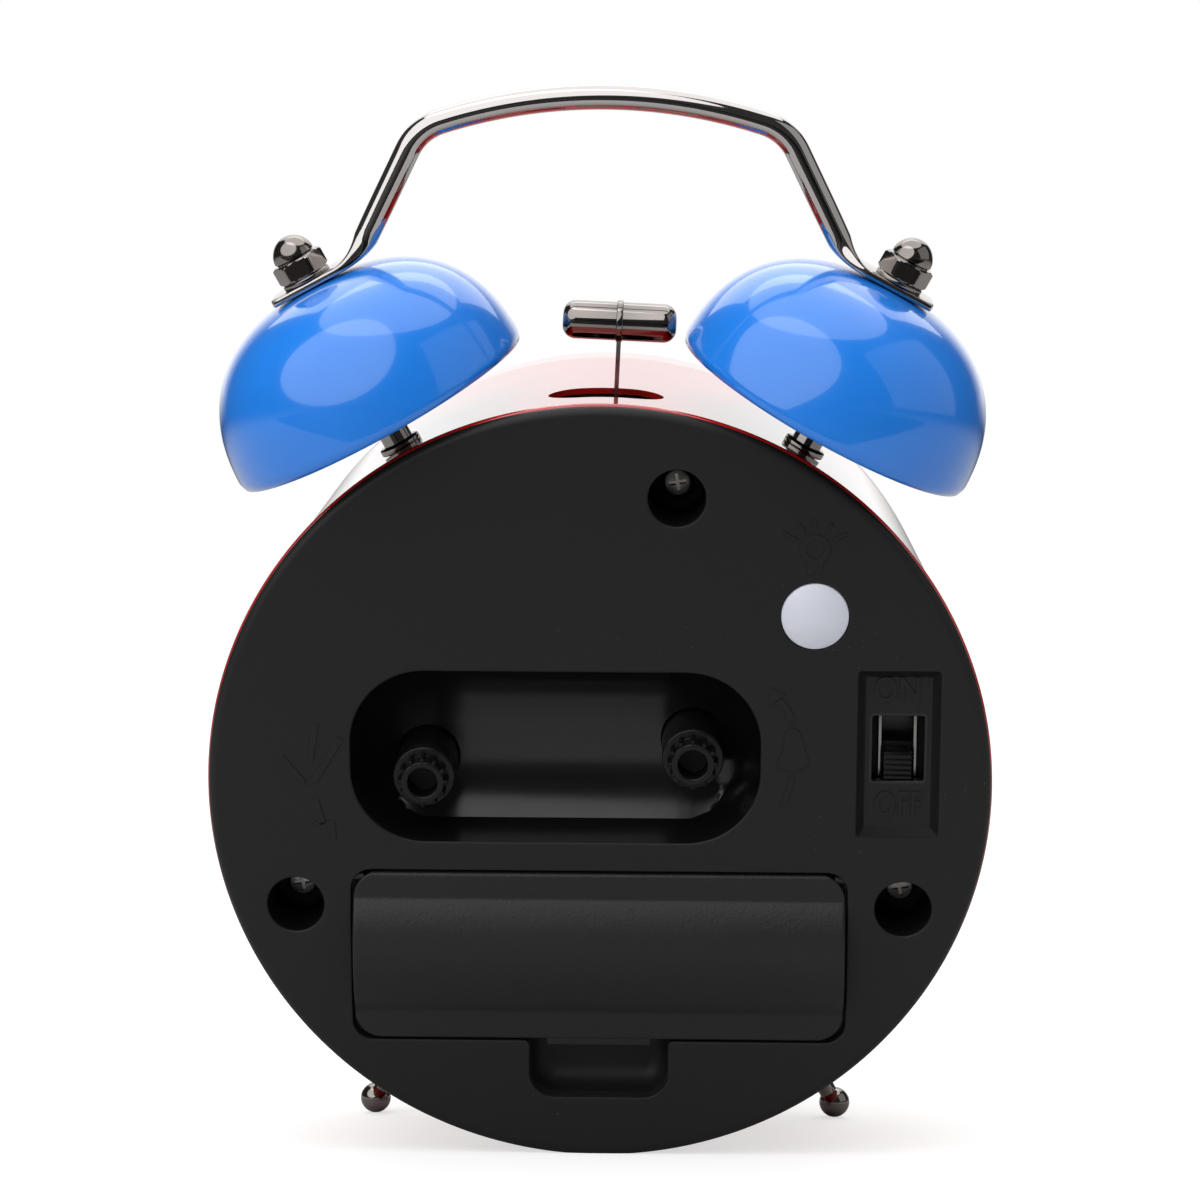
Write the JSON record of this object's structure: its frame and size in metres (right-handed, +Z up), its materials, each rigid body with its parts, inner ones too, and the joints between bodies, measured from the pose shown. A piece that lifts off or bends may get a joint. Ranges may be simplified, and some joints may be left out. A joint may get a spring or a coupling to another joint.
{
  "type": "twin bell alarm clock",
  "caption": "Round twin bell alarm clock with a carry handle, a hammer between its bells, short feet, and knobs, a button, a switch and a battery door in its back.",
  "frame": {"origin": "middle of the clock's bounding box on the surface it stands on", "axes": "+Z up, -Y towards the side that the dial faces, +X to the right as seen from the dial side; the clock leans back by about 14 degrees"},
  "size_m": [0.0908, 0.0746, 0.1243],
  "materials": {
    "red_enamel": "gloss",
    "blue_enamel": "gloss",
    "black_moulding": "fine satin",
    "dark_nickel": "mirror polished",
    "steel": "satin",
    "pale_moulding": "gloss",
    "light_pipe": "frosted",
    "clear_glass": "clear",
    "dial_face": "matt",
    "hand_black": "matt paint",
    "hand_red": "matt paint",
    "inner_moulding": "matt",
    "gear_moulding": "satin",
    "black_gloss": "gloss",
    "copper_wire": "enamelled",
    "board": "satin",
    "cell_jacket": "satin",
    "iron": "bright",
    "lamp_body": "clear"
  },
  "bodies": {
    "clock": {"case_shell": "red_enamel", "back_cover": "black_moulding", "cover_screws": "steel", "battery_cell": "cell_jacket", "positive_contact": "steel", "negative_contact": "steel", "light_switch": "black_gloss", "switch_frame": "steel", "switch_base": "board", "circuit_board": "board", "bell_right": "blue_enamel", "bell_left": "blue_enamel", "bell_posts": "dark_nickel", "washers": "dark_nickel", "cap_nuts": "dark_nickel", "handle": "dark_nickel", "striker_core": "iron", "striker_bobbin": "inner_moulding", "striker_coil": "copper_wire", "striker_bracket": "iron", "pivot_clip": "steel", "foot_right": "dark_nickel", "foot_left": "dark_nickel", "plain_nuts": "steel", "front_bezel": "red_enamel", "lens": "clear_glass", "light_ring": "light_pipe", "dial": "dial_face", "dial_frame": "inner_moulding", "lamp": "lamp_body", "front_housing": "inner_moulding", "rear_housing": "inner_moulding", "small_screws": "steel", "middle_plate": "inner_moulding", "stator": "iron", "motor_coil": "copper_wire"},
    "hammer": {"hammer_head": "dark_nickel", "hammer_arm": "steel", "armature": "iron"},
    "battery_lid": {"battery_door": "black_moulding"},
    "light_push": {"light_button": "pale_moulding", "switch_plunger": "inner_moulding"},
    "alarm_switch": {"alarm_slider": "black_gloss"},
    "time_set": {"time_knob": "black_gloss", "time_shaft": "inner_moulding"},
    "alarm_set": {"alarm_knob": "black_gloss", "alarm_shaft": "inner_moulding"},
    "minute_train": {"cannon_pinion": "gear_moulding", "minute_hand": "hand_black"},
    "minute_step": {"minute_wheel": "gear_moulding"},
    "hour_train": {"hour_wheel": "gear_moulding", "hour_hand": "hand_black"},
    "alarm_train": {"alarm_wheel": "gear_moulding", "alarm_hand": "hand_red"},
    "second_train": {"second_wheel": "gear_moulding", "second_hand": "hand_red"},
    "intermediate_step": {"intermediate_wheel": "gear_moulding"},
    "motor_rotor": {"rotor": "gear_moulding"},
    "third_step": {"third_wheel": "gear_moulding"},
    "centre_step": {"centre_wheel": "gear_moulding"}
  },
  "joints": [
    {"name": "hammer_swing", "type": "hinge", "parent": "clock", "child": "hammer", "pos_m": [-0.0009, 0.01531, 0.07388], "axis": [0, 0.9702, -0.2423], "range_deg": [-1.7, 10.6], "stiffness_Nm_per_rad": 0.004},
    {"name": "door_hinge", "type": "hinge", "parent": "clock", "child": "battery_lid", "pos_m": [0, 0.01832, 0.0333], "axis": [1, 0, 0], "range_deg": [0, 60]},
    {"name": "light_button_press", "type": "slide", "parent": "clock", "child": "light_push", "axis": [0, -0.9702, 0.2423], "range_m": [0, 0.0007], "stiffness_N_per_m": 600, "springref_m": -0.0005},
    {"name": "alarm_switch_slide", "type": "slide", "parent": "clock", "child": "alarm_switch", "axis": [0, 0.2423, 0.9702], "range_m": [0, 0.0043]},
    {"name": "time_knob_turn", "type": "hinge", "parent": "clock", "child": "time_set", "pos_m": [0.0204, -0.00726, 0.05159], "axis": [0, 0.9702, -0.2423], "continuous": true},
    {"name": "alarm_knob_turn", "type": "hinge", "parent": "clock", "child": "alarm_set", "pos_m": [-0.0108, -0.00668, 0.05392], "axis": [0, 0.9702, -0.2423], "continuous": true},
    {"name": "minute_hand_turn", "type": "hinge", "parent": "clock", "child": "minute_train", "pos_m": [0, -0.00748, 0.05072], "axis": [0, 0.9702, -0.2423], "continuous": true},
    {"name": "minute_wheel_turn", "type": "hinge", "parent": "clock", "child": "minute_step", "pos_m": [0.00887, -0.00711, 0.05221], "axis": [0, 0.9702, -0.2423], "continuous": true},
    {"name": "hour_hand_turn", "type": "hinge", "parent": "clock", "child": "hour_train", "pos_m": [0, -0.00748, 0.05072], "axis": [0, 0.9702, -0.2423], "continuous": true},
    {"name": "alarm_hand_turn", "type": "hinge", "parent": "clock", "child": "alarm_train", "pos_m": [0, -0.00748, 0.05072], "axis": [0, 0.9702, -0.2423], "continuous": true},
    {"name": "second_hand_turn", "type": "hinge", "parent": "clock", "child": "second_train", "pos_m": [0, -0.00748, 0.05072], "axis": [0, 0.9702, -0.2423], "continuous": true},
    {"name": "intermediate_wheel_turn", "type": "hinge", "parent": "clock", "child": "intermediate_step", "pos_m": [-0.00146, -0.00548, 0.05874], "axis": [0, 0.9702, -0.2423], "continuous": true},
    {"name": "rotor_turn", "type": "hinge", "parent": "clock", "child": "motor_rotor", "pos_m": [0.00531, -0.00488, 0.06113], "axis": [0, 0.9702, -0.2423], "continuous": true},
    {"name": "third_wheel_turn", "type": "hinge", "parent": "clock", "child": "third_step", "pos_m": [0.00431, -0.00972, 0.04175], "axis": [0, 0.9702, -0.2423], "continuous": true},
    {"name": "centre_wheel_turn", "type": "hinge", "parent": "clock", "child": "centre_step", "pos_m": [0, -0.00748, 0.05072], "axis": [0, 0.9702, -0.2423], "continuous": true}
  ],
  "couplings": [
    {"joint": "minute_wheel_turn", "follows": "time_knob_turn", "ratio": -0.71111},
    {"joint": "minute_hand_turn", "follows": "time_knob_turn", "ratio": 2.1333},
    {"joint": "hour_hand_turn", "follows": "time_knob_turn", "ratio": 0.17778},
    {"joint": "alarm_hand_turn", "follows": "alarm_knob_turn", "ratio": -0.5},
    {"joint": "intermediate_wheel_turn", "follows": "second_hand_turn", "ratio": -6},
    {"joint": "rotor_turn", "follows": "second_hand_turn", "ratio": 30},
    {"joint": "third_wheel_turn", "follows": "second_hand_turn", "ratio": -0.13333},
    {"joint": "centre_wheel_turn", "follows": "second_hand_turn", "ratio": 0.016667}
  ]
}
